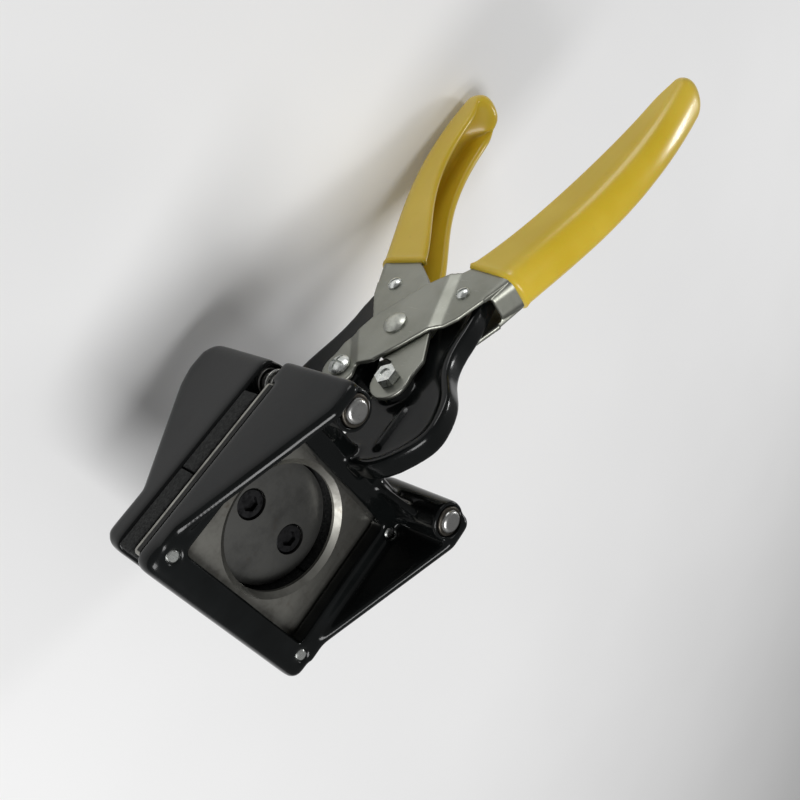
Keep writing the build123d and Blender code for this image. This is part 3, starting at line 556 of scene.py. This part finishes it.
def cell_rubber():
    """Cut cellular rubber: round open pores of two sizes over a dusty dark grey."""
    finish = Finish("cell_rubber", Specular_IOR_Level=0.25)
    pores = finish.node("ShaderNodeTexVoronoi", {"Vector": finish.place, "Scale": 1500.0})
    coarse = finish.noise(900.0, 4.0, 0.7)
    colour = finish.mixed(finish.ramp(coarse, 0.35, 0.7), (0.010, 0.0105, 0.0105, 1),
                          (0.034, 0.035, 0.034, 1))
    return finish.feed(Base_Color=colour, Roughness=coarse * 0.2 + 0.72,
                       Normal=finish.bump(pores * 0.6 + coarse, 0.9, 0.0004))


def torn(piece, depth):
    """Move each point along its normal by three crossed sine waves, which roughens a sawn face."""
    mesh = piece.data
    points = np.empty(len(mesh.vertices) * 3)
    normals = np.empty(len(mesh.vertices) * 3)
    mesh.vertices.foreach_get("co", points)
    mesh.vertices.foreach_get("normal", normals)
    points = points.reshape(-1, 3)
    wave = (np.sin(points[:, 0] * 2300 + 2 * np.sin(points[:, 1] * 900))
            * np.sin(points[:, 1] * 2100 + 2 * np.sin(points[:, 2] * 1300)) * np.sin(points[:, 2] * 1900 + 1))
    points = points - normals.reshape(-1, 3) * (depth * (0.5 + 0.5 * wave))[:, None]
    mesh.vertices.foreach_set("co", points.ravel())
    mesh.update()
    return piece


rubber = cell_rubber()
for node in ("stripper_pad_front", "stripper_pad_rear"):
    low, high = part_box(node)
    pad = settled(rounded_over(merged_copy(f"{node}_foam", node), PAD_GRID, 2))
    shown_as(torn(pad, PAD_TEAR), "punch_jaw", "pad_foam", rubber, node)
    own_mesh(pad)


# ---- Return springs: cold-wound steel wire on the guide posts, with closed and ground ends, that
# open the jaws again.
WIRE_RADIUS = 0.45 * MM
SPRING_TURNS = 7


def coil(name, centre, radius, low, high, turns):
    """A tube round a helix: angle t turns about the post while height eases in and out at the ends."""
    along, round_wire = 60 * turns, 10
    t = np.linspace(0.0, 1.0, along)
    rise = t - np.sin(2 * np.pi * t) * 0.06
    angle = 2 * np.pi * turns * t
    spine = np.stack([centre[0] + radius * np.cos(angle), centre[1] + radius * np.sin(angle),
                      low + (high - low) * rise], 1)
    outward = np.stack([np.cos(angle), np.sin(angle), np.zeros(along)], 1)
    upward = np.tile([0.0, 0.0, 1.0], (along, 1))
    a = np.linspace(0, 2 * np.pi, round_wire, endpoint=False)
    grid = (spine[:, None] + WIRE_RADIUS * (outward[:, None] * np.cos(a)[None, :, None]
                                            + upward[:, None] * np.sin(a)[None, :, None]))
    points = np.concatenate([grid.reshape(-1, 3), spine[[0, -1]]])
    i, j = np.meshgrid(np.arange(along - 1), np.arange(round_wire), indexing="ij")
    k = (j + 1) % round_wire
    quads = np.stack([i * round_wire + j, (i + 1) * round_wire + j,
                      (i + 1) * round_wire + k, i * round_wire + k], -1).reshape(-1, 4)
    ring = np.arange(round_wire)
    turned = (ring + 1) % round_wire
    last = (along - 1) * round_wire
    first_cap = np.stack([ring, turned, np.full(round_wire, along * round_wire)], 1)
    last_cap = np.stack([last + turned, last + ring, np.full(round_wire, along * round_wire + 1)], 1)
    mesh = bpy.data.meshes.new(name)
    mesh.from_pydata(points.tolist(), [], quads.tolist() + first_cap.tolist() + last_cap.tolist())
    mesh.shade_smooth()
    piece = bpy.data.objects.new(name, mesh)
    bpy.context.scene.collection.objects.link(piece)
    return piece


spring_wire = plated("spring_wire", (0.22, 0.22, 0.21, 1), (0.44, 0.44, 0.42, 1), 0.26)
for side in ("left", "right"):
    low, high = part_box(f"return_spring_{side}")
    middle = (low + high) / 2
    spring = coil(f"return_spring_{side}_wire", middle, (high.x - low.x) / 2 - WIRE_RADIUS,
                  low.z + WIRE_RADIUS, high.z - WIRE_RADIUS, SPRING_TURNS)
    shown_as(spring, "punch_jaw", "spring_steel", spring_wire, f"return_spring_{side}")
    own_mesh(spring)


# ---- Studio: a pale seamless floor under the tool, one large soft light over the nose, a low one
# beside the levers and a small one behind the grips.
FLOOR_GAP = 0.5 * MM
FLOOR_SIZE = 3.0

floor_mesh = bpy.data.meshes.new("floor")
half = FLOOR_SIZE / 2
floor_level = cad_low.z - FLOOR_GAP
floor_mesh.from_pydata([(-half, -half, floor_level), (half, -half, floor_level), (half, half, floor_level),
                        (-half, half, floor_level)], [], [(0, 1, 2, 3)])
floor = bpy.data.objects.new("floor", floor_mesh)
bpy.context.scene.collection.objects.link(floor)
paper = Finish("floor_paper", Roughness=0.9)
floor_tone = paper.mixed(paper.ramp(paper.noise(7.0, 2.0), 0.3, 0.7), (0.88, 0.88, 0.88, 1),
                         (0.90, 0.90, 0.90, 1))
floor_mesh.materials.append(paper.feed(Base_Color=floor_tone))


def soft_light(name, place, aim, width, height, power):
    """A rectangular soft box, placed and aimed in metres."""
    data = bpy.data.lights.new(name, "AREA")
    data.shape = "RECTANGLE"
    data.size = width
    data.size_y = height
    data.energy = power
    lamp = bpy.data.objects.new(name, data)
    lamp.location = place
    lamp.rotation_mode = "QUATERNION"
    lamp.rotation_quaternion = (Vector(aim) - Vector(place)).to_track_quat("-Z", "Y")
    lamp.visible_camera = False
    bpy.context.scene.collection.objects.link(lamp)


soft_light("key_light", (0.45, 0.05, 0.80), (-0.06, 0.0, 0.0), 0.45, 0.45, 7.2)
soft_light("side_light", (-0.62, -0.75, 0.16), (-0.10, 0.0, 0.0), 0.50, 0.28, 2.2)
soft_light("window_light", (-0.72, 0.36, 0.38), (-0.15, 0.0, 0.02), 0.14, 0.14, 1.3)

world = bpy.data.worlds.new("studio")
world.use_nodes = True
world.node_tree.nodes["Background"].inputs["Color"].default_value = (1, 1, 1, 1)
world.node_tree.nodes["Background"].inputs["Strength"].default_value = 0.20
bpy.context.scene.world = world
bpy.context.scene.view_settings.view_transform = "Standard"
